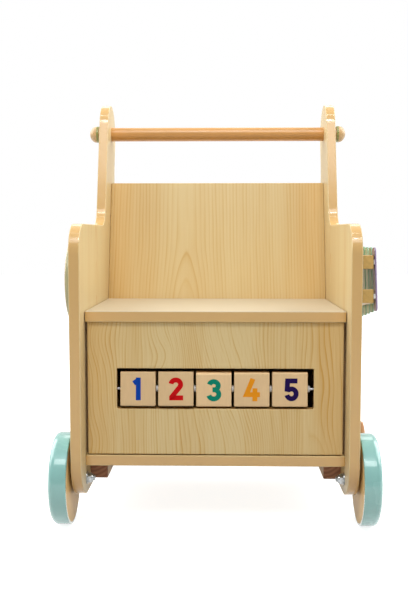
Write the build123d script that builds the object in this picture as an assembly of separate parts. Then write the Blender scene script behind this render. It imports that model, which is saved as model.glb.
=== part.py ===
from build123d import *
import os
from math import atan2, cos, degrees, pi, radians, sin, tan

# Wooden baby walker: a storage bench on four wheels that a toddler pushes from behind.
# All sizes are millimetres. X is the width, Y runs from the seat's front (-Y) to the
# handle's rear (+Y), Z is up from the floor. "Inset" is a distance behind the side
# panels' front edges and "height" a distance above the side panels' bottom edges.

# --- boards -------------------------------------------------------------------------
board = 12.0                 # thickness of every laminated board
inner_width = 291.0          # between the two side panels
edge_easing = 1.0            # small rounding along the boards' edges

# --- side panels --------------------------------------------------------------------
panel_depth = 314.0          # front edge to rear edge
foot_radius = 45.0           # big rounding of the lower corners
arm_height = 305.5           # top of the low front part
arm_radius = 32.0            # rounding of its front corner
arm_hollow = 30.0            # hollow rounding where the handle post rises from the arm
post_lean = 16.5             # degrees, post leaning to the rear
post_width = 77.5            # across the post, square to its lean
post_bend = 60.0             # rounding where the straight rear edge bends into the post

# --- handle -------------------------------------------------------------------------
handle_inset = 288.0
handle_height = 431.0
handle_diameter = 18.5
tenon_diameter = 11.0        # turned-down end that passes through the panel
tenon_reach = 11.0           # how far it stands out of the panel's outer face
knob_foot_diameter = 16.0
knob_foot_length = 5.5
knob_diameter = 22.0
knob_length = 12.5           # rounded head, past its foot
knob_ring = 3.0              # straight ring at the head's base

# --- wheels -------------------------------------------------------------------------
wheel_diameter = 103.5
wheel_width = 20.2
tyre_thickness = 3.0         # of the band round the rim
tyre_lip_width = 8.5         # of the lip that the tyre lays over the wheel's outer face
tyre_lip_depth = 6.0
tyre_shoulder = 6.5          # rounding of the tread's outer edge
tyre_edge = 1.2              # rounding of its inner edge
axle_inset = 37.0            # front axle, behind the panels' front edges
wheel_base = 238.5
axle_height = 18.75          # above the side panels' bottom edges
wheel_gap = 3.2              # between a side panel and its wheels
bolt_diameter = 6.0
sleeve_diameter = 9.0        # steel sleeve on the bolt, which the wheel turns on
running_clearance = 0.08     # radial, wherever something turns on a pin
hub_recess_diameter = 24.0
hub_recess_depth = 7.5       # pocket for the bolt head in the wheel's outer face
dish_depth = 1.6             # turned hollow in the wheel's outer face
dish_diameter = 66.0
bolt_head_diameter = 12.0
bolt_head_height = 3.4
bolt_socket = 4.0            # across the flats of the hexagonal socket
washer_thickness = 1.4
washer_diameter = 14.0
nut_across_flats = 10.0
nut_height = 5.8
nut_collar = 1.6             # length of the nut's round collar
bolt_tip = 2.4               # thread past the nut
hub_boss_diameter = 20.0     # raised ring round the bore, on the wheel's inner face
end_play = 0.3               # of a wheel along its sleeve, at each end
hub_cap_diameter = 28.0
hub_cap_rise = 4.0           # dome of the hub cap over the wheel's face
hub_cap_wall = 1.4
hub_cap_spigot = 2.4         # length of the ring that holds the cap in the pocket

# --- box ----------------------------------------------------------------------------
floor_height = 34.0          # underside of the floor board
floor_inset = 31.5
front_panel_inset = 33.0
front_panel_gap = 2.7        # at each side of the front panel
front_panel_lift = 1.2       # under the front panel
seat_inset = 29.5
seat_top = 208.8
seat_side_gap = 0.8
seat_rest_gap = 0.3          # between the closed seat and what it rests on
backrest_inset = 235.5       # of its front face, at the seat's top
backrest_lean = 15.5         # degrees
backrest_top = 364.3
backrest_tail = 16.0         # how far it goes down below the seat's top
lid_pin_diameter = 5.0
lid_pin_grip = 14.0          # length of each pin in the seat's edge
lid_pin_seat = 9.0           # length of each pin in the side panel
lid_nose_gap = 1.2           # between the seat's round rear edge and the backrest
cleat_width = 20.0
floor_cleat_height = 23.6
floor_cleat_inset = 66.0
floor_cleat_length = 176.0
slim_cleat = 15.0            # square section of the cleats inside the box
seat_cleat_length = 140.0
cleat_to_panel = 8.0         # from the front cleats to the seat cleats

# --- number blocks ------------------------------------------------------------------
block_width = 39.5
block_height = 38.6
block_depth = 14.0
block_leans = (5.0, 6.0, -5.0, -1.0, 2.0)   # degrees that each block has swung on the rod
block_rounding = 2.0
block_gap = 2.95             # between neighbouring blocks
block_drift = -1.5           # the row stands this far left of the middle
block_rod_diameter = 3.0
spacer_diameter = 7.4
window_bottom = 99.0
window_side_room = 5.35      # beside the row of blocks, at each end
window_room_below = 2.6      # under the blocks
window_room_above = 4.3
window_rounding = 1.5

# --- xylophone, on the right side ----------------------------------------------------
key_count = 6
key_width = 18.0
key_pitch = 23.5
key_thickness = 1.7
key_easing = 0.4             # rounding of a key's outer edges
key_length_first = 69.0
key_length_step = 3.5
key_rounding = 5.0
key_inset = 20.0             # middle of the first key
key_height = 245.0
key_tilt = 4.5               # degrees, keys leaning to the rear
key_hole_share = 0.229       # pin holes, as a share of the key's length from its end
rail_height = 15.0
rail_depth = 13.6
rail_setback = 1.0           # of the rails' ends behind the outer keys' edges
upper_felt_thickness = 0.9
lower_felt_thickness = 2.0   # thicker, so that the keys' lower ends stand out a little more
felt_width = 5.0
felt_ease = 0.1              # between a felt and the keys, which slope over it
key_pin_diameter = 2.4
key_pin_head_diameter = 5.0
key_pin_head_height = 1.2
key_pin_grip = 9.0
key_hole_clearance = 0.4     # radial, so that a key rings

# --- mallet, in its two rests under the xylophone --------------------------------------
mallet_standoff = 11.0       # stick axis, out from the right panel
mallet_height = 54.0
mallet_head_inset = 100.0
mallet_head_length = 34.0
mallet_head_diameter = 20.0
mallet_end_diameter = 14.0
stick_diameter = 8.0
stick_length = 126.0
stick_in_head = 13.0
rest_from_head = 40.0        # from the head's axis to the middle of the first rest
rest_spread = 65.0           # from the first rest to the second
rest_width = 10.0
rest_wall = 4.0
rest_clearance = 0.35        # radial, round the stick
rest_below = 6.0
rest_above = 7.0

# --- turning disc, on the left side -----------------------------------------------------
disc_diameter = 94.0
disc_thickness = 9.5
disc_rounding = 2.0
disc_inset = 90.0
disc_height = 239.5
disc_gap = 2.6               # between the panel and the disc
disc_dish_diameter = 66.0
disc_dish_depth = 2.0
disc_pin_diameter = 8.0
disc_pin_grip = 10.0
disc_cap_diameter = 18.0
disc_cap_height = 4.5
disc_cap_rounding = 2.0

# --- fastening screws of the boards -------------------------------------------------------
screw_diameter = 5.0
screw_grip = 32.0            # in the board that a screw holds
screw_head_diameter = 11.0
screw_head_height = 1.8
screw_socket = 3.0           # across the flats of the hexagonal socket
socket_share = 0.6           # depth of a socket, as a share of its head's height
head_dome_share = 0.6        # rounding of a head, as a share of its height
floor_screw_insets = (120.0, 178.0)
rear_screw_heights = (80.0, 160.0)
backrest_screw_heights = (250.0, 340.0)
fixed_clearance = 0.05       # radial, round a pin or screw that stays put

# --- places worked out from the sizes above -------------------------------------------------
wheel_radius = wheel_diameter / 2
base_z = wheel_radius - axle_height
front_reach = wheel_radius - axle_inset
rear_reach = max(handle_inset + post_width / 2, axle_inset + wheel_base + wheel_radius)
panel_front = -(rear_reach - front_reach) / 2
inner_x = inner_width / 2
outer_x = inner_x + board
floor_top = floor_height + board
seat_underside = seat_top - board
box_top = seat_underside - seat_rest_gap
lid_axis_height = seat_top - board / 2
back_slope = tan(radians(backrest_lean))
board_slant = board / cos(radians(backrest_lean))
lid_nose_reach = (board / 2 + lid_nose_gap) / cos(radians(backrest_lean))
lid_axis_inset = backrest_inset - back_slope * board / 2 - lid_nose_reach
rear_panel_inset = backrest_inset - back_slope * board + board_slant
rod_inset = front_panel_inset + board / 2
block_count = len(block_leans)
block_pitch = block_width + block_gap
spacer_length = block_gap - 2 * end_play
window_width = block_count * block_pitch - block_gap + 2 * window_side_room
window_height = window_room_below + block_height + window_room_above
rod_height = window_bottom + window_room_below + block_height / 2
wheel_inner_x = outer_x + wheel_gap
wheel_outer_x = wheel_inner_x + wheel_width
pocket_x = wheel_outer_x - hub_recess_depth
sleeve_end_x = pocket_x + end_play
mallet_x = outer_x + mallet_standoff
disc_inner_x = outer_x + disc_gap
disc_outer_x = disc_inner_x + disc_thickness
rise = radians(key_tilt)
hex_sides = 6
flat_share = cos(pi / hex_sides)   # of a hexagon's flat, to its corner's distance from the middle
quarter_turn = 90.0

side_view = Plane(origin=(0, panel_front, base_z), x_dir=(0, 1, 0), z_dir=(1, 0, 0))
front_view = Plane(origin=(0, panel_front, base_z), x_dir=(1, 0, 0), z_dir=(0, -1, 0))
key_view = Plane(
    origin=(outer_x, panel_front + key_inset, base_z + key_height),
    x_dir=(0, cos(rise), -sin(rise)),
    z_dir=(1, 0, 0),
)

os.makedirs("parts", exist_ok=True)


def save(name, *solids):
    """Write one node: the solids of one real piece, or of one set of like fasteners."""
    shape = solids[0] if len(solids) == 1 else Compound(children=list(solids))
    export_step(shape, os.path.join("parts", name + ".step"))


def place(x, inset, height):
    """A point from its X, its inset and its height."""
    return Vector(x, panel_front + inset, base_z + height)


def bar(x_range, inset_range, height_range):
    """A square-cornered bar or board between two values of X, inset and height."""
    low, high = (place(*corner) for corner in zip(x_range, inset_range, height_range))
    size = high - low
    return Pos(*low) * Box(size.X, size.Y, size.Z, align=(Align.MIN, Align.MIN, Align.MIN))


def pin_along_x(x_start, x_end, inset, height, diameter):
    """A round pin, bore or dowel along X."""
    middle = place((x_start + x_end) / 2, inset, height)
    return Pos(*middle) * Rot(0, quarter_turn, 0) * Cylinder(diameter / 2, abs(x_end - x_start))


def turned(points, inset, height):
    """A piece turned about an X line, from the (X, radius) points of its half profile."""
    half = make_face(Polyline(*points, close=True))
    return Pos(*place(0, inset, height)) * revolve(half, axis=Axis.X)


def hex_socket(x_top, inset, height, across_flats, depth):
    """Hexagonal recess for a key, in the top of a screw's or bolt's head."""
    hexagon = RegularPolygon(across_flats / (2 * flat_share), hex_sides)
    return Pos(*place(x_top - depth, inset, height)) * Rot(0, quarter_turn, 0) * extrude(hexagon, depth)


def eased(piece, radius=edge_easing):
    """Take the sharpness off all the edges of a wooden piece."""
    return fillet(piece.edges(), radius)


def other_side(piece):
    """The same piece on the other side of the walker."""
    return mirror(piece, about=Plane.YZ)


def pair(piece):
    """A piece on the right side and its mirror image on the left."""
    return [piece, other_side(piece)]


def backrest_face(height):
    """Inset of the backrest's front face at a height."""
    return backrest_inset + (height - seat_top) * back_slope


# --- side panels ------------------------------------------------------------------------------
def panel_outline():
    """Side panel seen from the side: round feet, low arm, leaning post with a round top."""
    lean = radians(post_lean)
    along = Vector(sin(lean), cos(lean))
    across = Vector(cos(lean), -sin(lean))
    handle = Vector(handle_inset, handle_height)
    front_top = handle - across * (post_width / 2)
    rear_top = handle + across * (post_width / 2)
    crown = handle + along * (post_width / 2)
    hollow = front_top - along * ((front_top.Y - arm_height) / cos(lean))
    bend = rear_top - along * ((rear_top.X - panel_depth) / sin(lean))
    foot_rear = Vector(panel_depth, 0)
    foot_front = Vector(0, 0)
    arm_front = Vector(0, arm_height)
    outline = make_face(
        Polyline(foot_front, foot_rear, bend, rear_top)
        + ThreePointArc(rear_top, crown, front_top)
        + Polyline(front_top, hollow, arm_front, foot_front)
    )
    roundings = [
        (foot_front, foot_radius),
        (foot_rear, foot_radius),
        (bend, post_bend),
        (hollow, arm_hollow),
        (arm_front, arm_radius),
    ]
    for corner, radius in roundings:
        outline = fillet(outline.vertices().sort_by_distance(corner)[0], radius)
    return outline


def screw_places():
    """Inset and height of each screw through a side panel into the end of a board."""
    floor_screws = [(inset, floor_height + board / 2) for inset in floor_screw_insets]
    rear_screws = [(rear_panel_inset + board / 2, height) for height in rear_screw_heights]
    back_screws = [
        (backrest_face(height) + board_slant / 2, height) for height in backrest_screw_heights
    ]
    return floor_screws + rear_screws + back_screws


def wheel_places():
    """Name, side and inset of each wheel."""
    insets = {"front": axle_inset, "rear": axle_inset + wheel_base}
    sides = {"left": -1, "right": 1}
    return [(f"{end}_{side}", sides[side], insets[end]) for end in insets for side in sides]


panel = eased(extrude(side_view.offset(inner_x) * panel_outline(), board))
panel -= pin_along_x(inner_x, outer_x, handle_inset, handle_height,
                     tenon_diameter + 2 * fixed_clearance)
for inset in (axle_inset, axle_inset + wheel_base):
    panel -= pin_along_x(inner_x, outer_x, inset, axle_height,
                         bolt_diameter + 2 * fixed_clearance)
for inset, height in screw_places():
    panel -= pin_along_x(inner_x, outer_x, inset, height, screw_diameter + 2 * fixed_clearance)
lid_pin_seat_x = inner_x + lid_pin_seat
panel -= pin_along_x(inner_x, lid_pin_seat_x, lid_axis_inset, lid_axis_height,
                     lid_pin_diameter + 2 * fixed_clearance)
disc_pin_bore = pin_along_x(-outer_x + disc_pin_grip, -outer_x, disc_inset, disc_height,
                            disc_pin_diameter + 2 * fixed_clearance)
save("right_side_panel", panel)
save("left_side_panel", other_side(panel) - disc_pin_bore)


# --- box: floor, walls, seat and backrest -----------------------------------------------------
def screw_holes(height_limits):
    """Holes for the screws whose heights lie between two limits, in both ends of a board."""
    holes = []
    for inset, height in screw_places():
        if height_limits[0] < height < height_limits[1]:
            holes += pair(pin_along_x(inner_x - screw_grip, inner_x, inset, height,
                                      screw_diameter + 2 * fixed_clearance))
    return holes


across_box = (-inner_x, inner_x)
floor_end = rear_panel_inset + board
floor_board = eased(bar(across_box, (floor_inset, floor_end), (floor_height, floor_top)))
save("floor_board", floor_board - screw_holes((floor_height, floor_top)))

rear_panel = eased(bar(across_box, (rear_panel_inset, floor_end), (floor_top, seat_underside)))
save("rear_panel", rear_panel - screw_holes((floor_top, seat_underside)))

front_panel_x = inner_x - front_panel_gap
front_panel_bottom = floor_top + front_panel_lift
front_panel = bar((-front_panel_x, front_panel_x),
                  (front_panel_inset, front_panel_inset + board),
                  (front_panel_bottom, box_top))
window_middle = place(0, rod_inset, window_bottom + window_height / 2)
window = Pos(*window_middle) * Box(window_width, 2 * board, window_height)
window = fillet(window.edges().filter_by(Axis.Y), window_rounding)
front_panel = eased(front_panel - window)
front_panel -= pin_along_x(-front_panel_x, front_panel_x, rod_inset, rod_height,
                           block_rod_diameter + 2 * fixed_clearance)
save("front_panel", front_panel)

# The seat is the box's lid: its rear edge is a full round about the hinge pins' axis.
seat_profile = make_face(
    Polyline((lid_axis_inset, seat_top), (seat_inset, seat_top),
             (seat_inset, seat_underside), (lid_axis_inset, seat_underside))
    + ThreePointArc((lid_axis_inset, seat_underside),
                    (lid_axis_inset + board / 2, lid_axis_height),
                    (lid_axis_inset, seat_top))
)
seat_x = inner_x - seat_side_gap
seat_lid = eased(extrude(side_view * seat_profile, seat_x, both=True))
lid_pin_bore = pin_along_x(seat_x - lid_pin_grip - end_play, seat_x, lid_axis_inset,
                           lid_axis_height, lid_pin_diameter + 2 * running_clearance)
save("seat_lid", seat_lid - pair(lid_pin_bore))
lid_pin = pin_along_x(seat_x - lid_pin_grip, lid_pin_seat_x, lid_axis_inset, lid_axis_height,
                      lid_pin_diameter)
save("seat_lid_pins", *pair(lid_pin))

tail = backrest_tail / cos(radians(backrest_lean))
head = (backrest_top - seat_top) / cos(radians(backrest_lean))
backrest_profile = Pos(backrest_inset, seat_top) * Rot(0, 0, -backrest_lean) * make_face(
    Polyline((0, -tail), (board, -tail), (board, head), (0, head), close=True)
)
backrest = eased(extrude(side_view * backrest_profile, inner_x, both=True))
save("backrest", backrest - screw_holes((seat_top, backrest_top)))

# --- cleats: square strips that carry the boards ------------------------------------------------
floor_cleat = eased(bar((inner_x - cleat_width, inner_x),
                        (floor_cleat_inset, floor_cleat_inset + floor_cleat_length),
                        (floor_height - floor_cleat_height, floor_height)))
front_cleat_start = front_panel_inset + board
front_cleat_end = front_cleat_start + slim_cleat
front_cleat = bar((inner_x - slim_cleat, inner_x), (front_cleat_start, front_cleat_end),
                  (floor_top, box_top))
seat_cleat_start = front_cleat_end + cleat_to_panel
seat_cleat = bar((inner_x - slim_cleat, inner_x),
                 (seat_cleat_start, seat_cleat_start + seat_cleat_length),
                 (box_top - slim_cleat, box_top))
for name, cleat in (("floor_cleat", floor_cleat), ("front_cleat", front_cleat),
                    ("seat_cleat", seat_cleat)):
    save("right_" + name, cleat)
    save("left_" + name, other_side(cleat))

# --- screws that hold the boards between the side panels -----------------------------------------
board_screws = []
for inset, height in screw_places():
    shank = pin_along_x(inner_x - screw_grip, outer_x, inset, height, screw_diameter)
    screw_head = pin_along_x(outer_x, outer_x + screw_head_height, inset, height,
                             screw_head_diameter)
    rim = screw_head.edges().sort_by(Axis.X)[-1]
    screw_head = fillet(rim, screw_head_height * head_dome_share)
    screw_head -= hex_socket(outer_x + screw_head_height, inset, height, screw_socket,
                             screw_head_height * socket_share)
    board_screws += pair(shank + screw_head)
save("board_screws", *board_screws)

# --- handle: a rod shouldered between the panels, with a turned knob on each tenon ----------------
tenon_end_x = outer_x + tenon_reach
handle_rod = pin_along_x(-inner_x, inner_x, handle_inset, handle_height, handle_diameter)
handle_rod += pin_along_x(-tenon_end_x, tenon_end_x, handle_inset, handle_height, tenon_diameter)
save("handle_rod", handle_rod)

knob_radius = knob_diameter / 2
knob_base_x = outer_x + knob_foot_length
knob_ring_x = knob_base_x + knob_ring
knob_end_x = knob_base_x + knob_length
foot_r = knob_foot_diameter / 2
knob_bore_r = tenon_diameter / 2 + fixed_clearance
bore_end_x = tenon_end_x + fixed_clearance
dome = EllipticalCenterArc((knob_ring_x, 0), knob_end_x - knob_ring_x, knob_radius,
                           start_angle=0, arc_size=quarter_turn)
knob_half = make_face(
    Polyline((knob_end_x, 0), (bore_end_x, 0), (bore_end_x, knob_bore_r),
             (outer_x, knob_bore_r), (outer_x, foot_r), (knob_base_x, foot_r),
             (knob_base_x, knob_radius), (knob_ring_x, knob_radius))
    + dome
)
knob = Pos(*place(0, handle_inset, handle_height)) * revolve(knob_half, axis=Axis.X)
save("right_handle_knob", knob)
save("left_handle_knob", other_side(knob))


# --- wheels ---------------------------------------------------------------------------------------
def wheel_disc(inset):
    """Wooden wheel: a boss round the bore inside, a dish and a pocket in the outer face."""
    bore_r = sleeve_diameter / 2 + running_clearance
    boss_x = wheel_inner_x - (wheel_gap - washer_thickness - end_play)
    boss_r = hub_boss_diameter / 2
    rim_r = wheel_radius - tyre_thickness
    lip_r = wheel_radius - tyre_lip_width
    lip_x = wheel_outer_x - tyre_lip_depth
    dish_r = dish_diameter / 2
    land_r = hub_cap_diameter / 2 + dish_depth
    pocket_r = hub_recess_diameter / 2
    dish_x = wheel_outer_x - dish_depth
    return turned([
        (boss_x, bore_r), (boss_x, boss_r), (wheel_inner_x, boss_r + dish_depth),
        (wheel_inner_x, rim_r), (lip_x, rim_r), (lip_x, lip_r), (wheel_outer_x, lip_r),
        (wheel_outer_x, dish_r),
        (dish_x, dish_r - dish_depth), (dish_x, land_r + dish_depth), (wheel_outer_x, land_r),
        (wheel_outer_x, pocket_r), (pocket_x, pocket_r), (pocket_x, bore_r),
    ], inset, axle_height)


def wheel_tyre(inset):
    """Smooth tyre: a band round the rim and a lip in the rebate of the wheel's outer face."""
    rim_r = wheel_radius - tyre_thickness
    lip_r = wheel_radius - tyre_lip_width
    lip_x = wheel_outer_x - tyre_lip_depth
    ring = turned([
        (wheel_inner_x, rim_r), (lip_x, rim_r), (lip_x, lip_r), (wheel_outer_x, lip_r),
        (wheel_outer_x, wheel_radius), (wheel_inner_x, wheel_radius),
    ], inset, axle_height)
    tread_edges = ring.edges().filter_by(GeomType.CIRCLE).group_by(SortBy.RADIUS)[-1]
    ring = fillet(tread_edges.sort_by(Axis.X)[-1], tyre_shoulder)
    tread_edges = ring.edges().filter_by(GeomType.CIRCLE).group_by(SortBy.RADIUS)[-1]
    return fillet(tread_edges.sort_by(Axis.X)[0], tyre_edge)


def hub_cap(inset):
    """Domed cap whose ring is pressed into the pocket over the bolt's head."""
    flange_r = hub_cap_diameter / 2
    spigot_r = hub_recess_diameter / 2 - fixed_clearance
    spigot_x = wheel_outer_x - hub_cap_spigot
    brim_x = wheel_outer_x + hub_cap_wall
    top_x = wheel_outer_x + hub_cap_rise
    outer_dome = EllipticalCenterArc((brim_x, 0), top_x - brim_x, flange_r,
                                     start_angle=0, arc_size=quarter_turn)
    under = top_x - hub_cap_wall
    half = make_face(
        Polyline((top_x, 0), (under, 0), (wheel_outer_x, spigot_r - hub_cap_wall),
                 (spigot_x, spigot_r - hub_cap_wall), (spigot_x, spigot_r),
                 (wheel_outer_x, spigot_r), (wheel_outer_x, flange_r), (brim_x, flange_r))
        + outer_dome
    )
    return Pos(*place(0, inset, axle_height)) * revolve(half, axis=Axis.X)


def hex_nut(x_start, inset):
    """Locking nut: a chamfered hexagon with a round collar on its inner end."""
    corner_r = nut_across_flats / (2 * flat_share)
    length = nut_height - nut_collar
    hexagon = Pos(*place(x_start, inset, axle_height)) * Rot(0, quarter_turn, 0) * extrude(
        RegularPolygon(corner_r, hex_sides), length)
    bevel = corner_r - nut_across_flats / 2
    cone = turned([
        (x_start, 0), (x_start, corner_r - bevel), (x_start + bevel, corner_r + bevel),
        (x_start + length - bevel, corner_r + bevel), (x_start + length, corner_r - bevel),
        (x_start + length, 0),
    ], inset, axle_height)
    ring = pin_along_x(x_start - nut_collar, x_start, inset, axle_height,
                       nut_across_flats - nut_collar / 2)
    bore = pin_along_x(x_start - nut_collar, x_start + length, inset, axle_height,
                       bolt_diameter + 2 * fixed_clearance)
    return (hexagon & cone) + ring - bore


def washer(x_start, inset):
    """Plain washer round the bolt."""
    disc = pin_along_x(x_start, x_start + washer_thickness, inset, axle_height, washer_diameter)
    return disc - pin_along_x(x_start, x_start + washer_thickness, inset, axle_height,
                              bolt_diameter + 2 * fixed_clearance)


washer_spots = [inner_x - washer_thickness, outer_x, sleeve_end_x]
head_x = sleeve_end_x + washer_thickness
nut_end_x = inner_x - washer_thickness
bolt_end_x = nut_end_x - nut_height - bolt_tip
bolts, sleeves, washers, nuts = [], [], [], []
for name, side, inset in wheel_places():
    own_side = (lambda piece: piece) if side > 0 else other_side
    save(f"{name}_wheel", own_side(wheel_disc(inset)))
    save(f"{name}_tyre", own_side(wheel_tyre(inset)))
    save(f"{name}_hub_cap", own_side(hub_cap(inset)))
    shank = pin_along_x(bolt_end_x, head_x, inset, axle_height, bolt_diameter)
    shank = chamfer(shank.edges().sort_by(Axis.X)[0], bolt_diameter / 10)
    bolt_head = pin_along_x(head_x, head_x + bolt_head_height, inset, axle_height,
                            bolt_head_diameter)
    bolt_head = fillet(bolt_head.edges().sort_by(Axis.X)[-1], bolt_head_height * head_dome_share)
    bolt_head -= hex_socket(head_x + bolt_head_height, inset, axle_height, bolt_socket,
                            bolt_head_height * socket_share)
    bolts.append(own_side(shank + bolt_head))
    sleeve_start_x = outer_x + washer_thickness
    sleeve = pin_along_x(sleeve_start_x, sleeve_end_x, inset, axle_height, sleeve_diameter)
    sleeve -= pin_along_x(sleeve_start_x, sleeve_end_x, inset, axle_height,
                          bolt_diameter + 2 * fixed_clearance)
    sleeves.append(own_side(sleeve))
    washers += [own_side(washer(spot, inset)) for spot in washer_spots]
    nuts.append(own_side(hex_nut(nut_end_x - nut_height + nut_collar, inset)))
save("wheel_bolts", *bolts)
save("axle_sleeves", *sleeves)
save("wheel_washers", *washers)
save("wheel_nuts", *nuts)

# --- number blocks on their rod ---------------------------------------------------------------------
rod_end_x = front_panel_x
save("block_rod", pin_along_x(-rod_end_x, rod_end_x, rod_inset, rod_height, block_rod_diameter))
block_profile = RectangleRounded(block_depth, block_height, block_rounding)
spacers = []
for number, block_lean in enumerate(block_leans, start=1):
    middle_x = block_drift + (number - (block_count + 1) / 2) * block_pitch
    block = extrude(side_view.offset(middle_x) * Pos(rod_inset, rod_height)
                    * Rot(0, 0, -block_lean) * block_profile, block_width / 2, both=True)
    ends = block.faces().filter_by(Axis.X)
    block = fillet(ends.edges(), edge_easing)
    bore_half = block_width / 2
    block -= pin_along_x(middle_x - bore_half, middle_x + bore_half, rod_inset, rod_height,
                         block_rod_diameter + 2 * running_clearance)
    save(f"number_block_{number}", block)
    gap_x = middle_x + block_pitch / 2
    spacer = pin_along_x(gap_x - spacer_length / 2, gap_x + spacer_length / 2, rod_inset,
                         rod_height, spacer_diameter)
    spacers.append(spacer - pin_along_x(gap_x - spacer_length, gap_x + spacer_length, rod_inset,
                                        rod_height, block_rod_diameter + 2 * fixed_clearance))
save("block_spacers", *spacers)


# --- xylophone on the right panel's outer face --------------------------------------------------------
def key_length(along):
    """Length of a key whose middle is this far behind the first key's."""
    return key_length_first + key_length_step * along / key_pitch


def pin_offset(along):
    """Distance of a key's two pins from its middle."""
    return key_length(along) * (0.5 - key_hole_share)


def strip(width, start, end, z_start, z_end):
    """A straight strip that follows the upper pins, in the xylophone's own plane."""
    half = width / 2
    outline = make_face(Polyline(
        (start, pin_offset(start) - half), (end, pin_offset(end) - half),
        (end, pin_offset(end) + half), (start, pin_offset(start) + half), close=True))
    return extrude(key_view.offset(z_start) * outline, z_end - z_start)


def lower(piece):
    """The like piece that follows the lower pins."""
    return mirror(piece, about=Plane(key_view.origin, x_dir=key_view.x_dir,
                                     z_dir=key_view.y_dir))


def key_pin(along, offset, z_start, z_end, diameter):
    """A round pin or hole square to the rails."""
    return key_view * Pos(along, offset, (z_start + z_end) / 2) * Cylinder(
        diameter / 2, z_end - z_start)


def key_back(sign):
    """Height of the keys' back over the upper pins (1) or the lower pins (-1)."""
    felt_thickness = upper_felt_thickness if sign > 0 else lower_felt_thickness
    return rail_depth + felt_thickness + felt_ease


key_spots = [key_pitch * i for i in range(key_count)]
pin_spots = [(spot, sign) for spot in key_spots for sign in (1, -1)]
pin_holes = [key_pin(spot, sign * pin_offset(spot), rail_depth - key_pin_grip, key_back(sign),
                     key_pin_diameter + 2 * fixed_clearance) for spot, sign in pin_spots]
rail_start = rail_setback - key_width / 2
rail_end = key_spots[-1] + key_width / 2 - rail_setback
upper_rail = eased(strip(rail_height, rail_start, rail_end, 0, rail_depth))
save("xylophone_upper_rail", upper_rail - pin_holes)
save("xylophone_lower_rail", lower(upper_rail) - pin_holes)
upper_felt = strip(felt_width, rail_start, rail_end, rail_depth, rail_depth + upper_felt_thickness)
lower_felt = strip(felt_width, rail_start, rail_end, rail_depth, rail_depth + lower_felt_thickness)
save("xylophone_felts", upper_felt - pin_holes, lower(lower_felt) - pin_holes)
for number, spot in enumerate(key_spots, start=1):
    drop = key_back(-1) - key_back(1)
    slope = degrees(atan2(drop, 2 * pin_offset(spot)))
    middle_z = (key_back(1) + key_back(-1)) / 2
    plate = RectangleRounded(key_width, key_length(spot), key_rounding)
    key = key_view * Pos(spot, 0, middle_z) * Rot(-slope, 0, 0) * extrude(plate, key_thickness)
    key = fillet(key.faces().sort_by(Axis.X)[-1].edges(), key_easing)
    for sign in (1, -1):
        key -= key_pin(spot, sign * pin_offset(spot), rail_depth,
                       key_back(sign) + 2 * key_thickness,
                       key_pin_diameter + 2 * key_hole_clearance)
    save(f"xylophone_key_{number}", key)
key_pins = []
for spot, sign in pin_spots:
    offset = sign * pin_offset(spot)
    head_z = key_back(sign) + key_thickness + 2 * felt_ease
    nail = key_pin(spot, offset, rail_depth - key_pin_grip, head_z, key_pin_diameter)
    nail_head = key_pin(spot, offset, head_z, head_z + key_pin_head_height,
                        key_pin_head_diameter)
    nail_head = fillet(nail_head.edges().sort_by(Axis.X)[-1],
                       key_pin_head_height * head_dome_share)
    key_pins.append(nail + nail_head)
save("xylophone_pins", *key_pins)

# --- mallet and the two rests that it lies in -----------------------------------------------------------
end_r = mallet_end_diameter / 2
half_head = mallet_head_length / 2
head_half_profile = make_face(
    Polyline((0, half_head), (0, -half_head), (end_r, -half_head))
    + ThreePointArc((end_r, -half_head), (mallet_head_diameter / 2, 0), (end_r, half_head))
    + Line((end_r, half_head), (0, half_head))
)
mallet_head = revolve(Plane.XZ * head_half_profile, axis=Axis.Z)
mallet_head = fillet(mallet_head.edges().filter_by(GeomType.CIRCLE), edge_easing)
mallet_head = Pos(*place(mallet_x, mallet_head_inset, mallet_height)) * mallet_head
stick_start = mallet_head_inset + mallet_head_diameter / 2 - stick_in_head


def stick_between(start, end, diameter):
    """A round bar along the mallet's stick."""
    middle = place(mallet_x, (start + end) / 2, mallet_height)
    return Pos(*middle) * Rot(quarter_turn, 0, 0) * Cylinder(diameter / 2, end - start)


stick = stick_between(stick_start, stick_start + stick_length, stick_diameter)
stick = fillet(stick.edges().sort_by(Axis.Y)[-1], stick_diameter / 4)
mallet_head -= stick_between(stick_start - fixed_clearance, stick_start + stick_in_head,
                             stick_diameter + 2 * fixed_clearance)
save("mallet_head", mallet_head)
save("mallet_stick", stick)

slot_r = stick_diameter / 2 + rest_clearance
rest_outer_x = mallet_x + slot_r + rest_wall
rest_bottom = mallet_height - slot_r - rest_below
rest_top = mallet_height + rest_above
first_rest_inset = mallet_head_inset + rest_from_head
rest_outline = make_face(Polyline(
    (outer_x, rest_bottom), (rest_outer_x, rest_bottom), (rest_outer_x, rest_top),
    (outer_x, rest_top), close=True))
rest_outline = fillet(rest_outline.vertices().group_by(Axis.X)[-1], edge_easing)
slot = make_face(Polyline(
    (mallet_x - slot_r, mallet_height), (mallet_x + slot_r, mallet_height),
    (mallet_x + slot_r, rest_top), (mallet_x - slot_r, rest_top), close=True))
rest_outline -= slot + Pos(mallet_x, mallet_height) * Circle(slot_r)
save("mallet_rests", *(
    extrude(front_view.offset(-inset) * rest_outline, rest_width / 2, both=True)
    for inset in (first_rest_inset, first_rest_inset + rest_spread)
))

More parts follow.
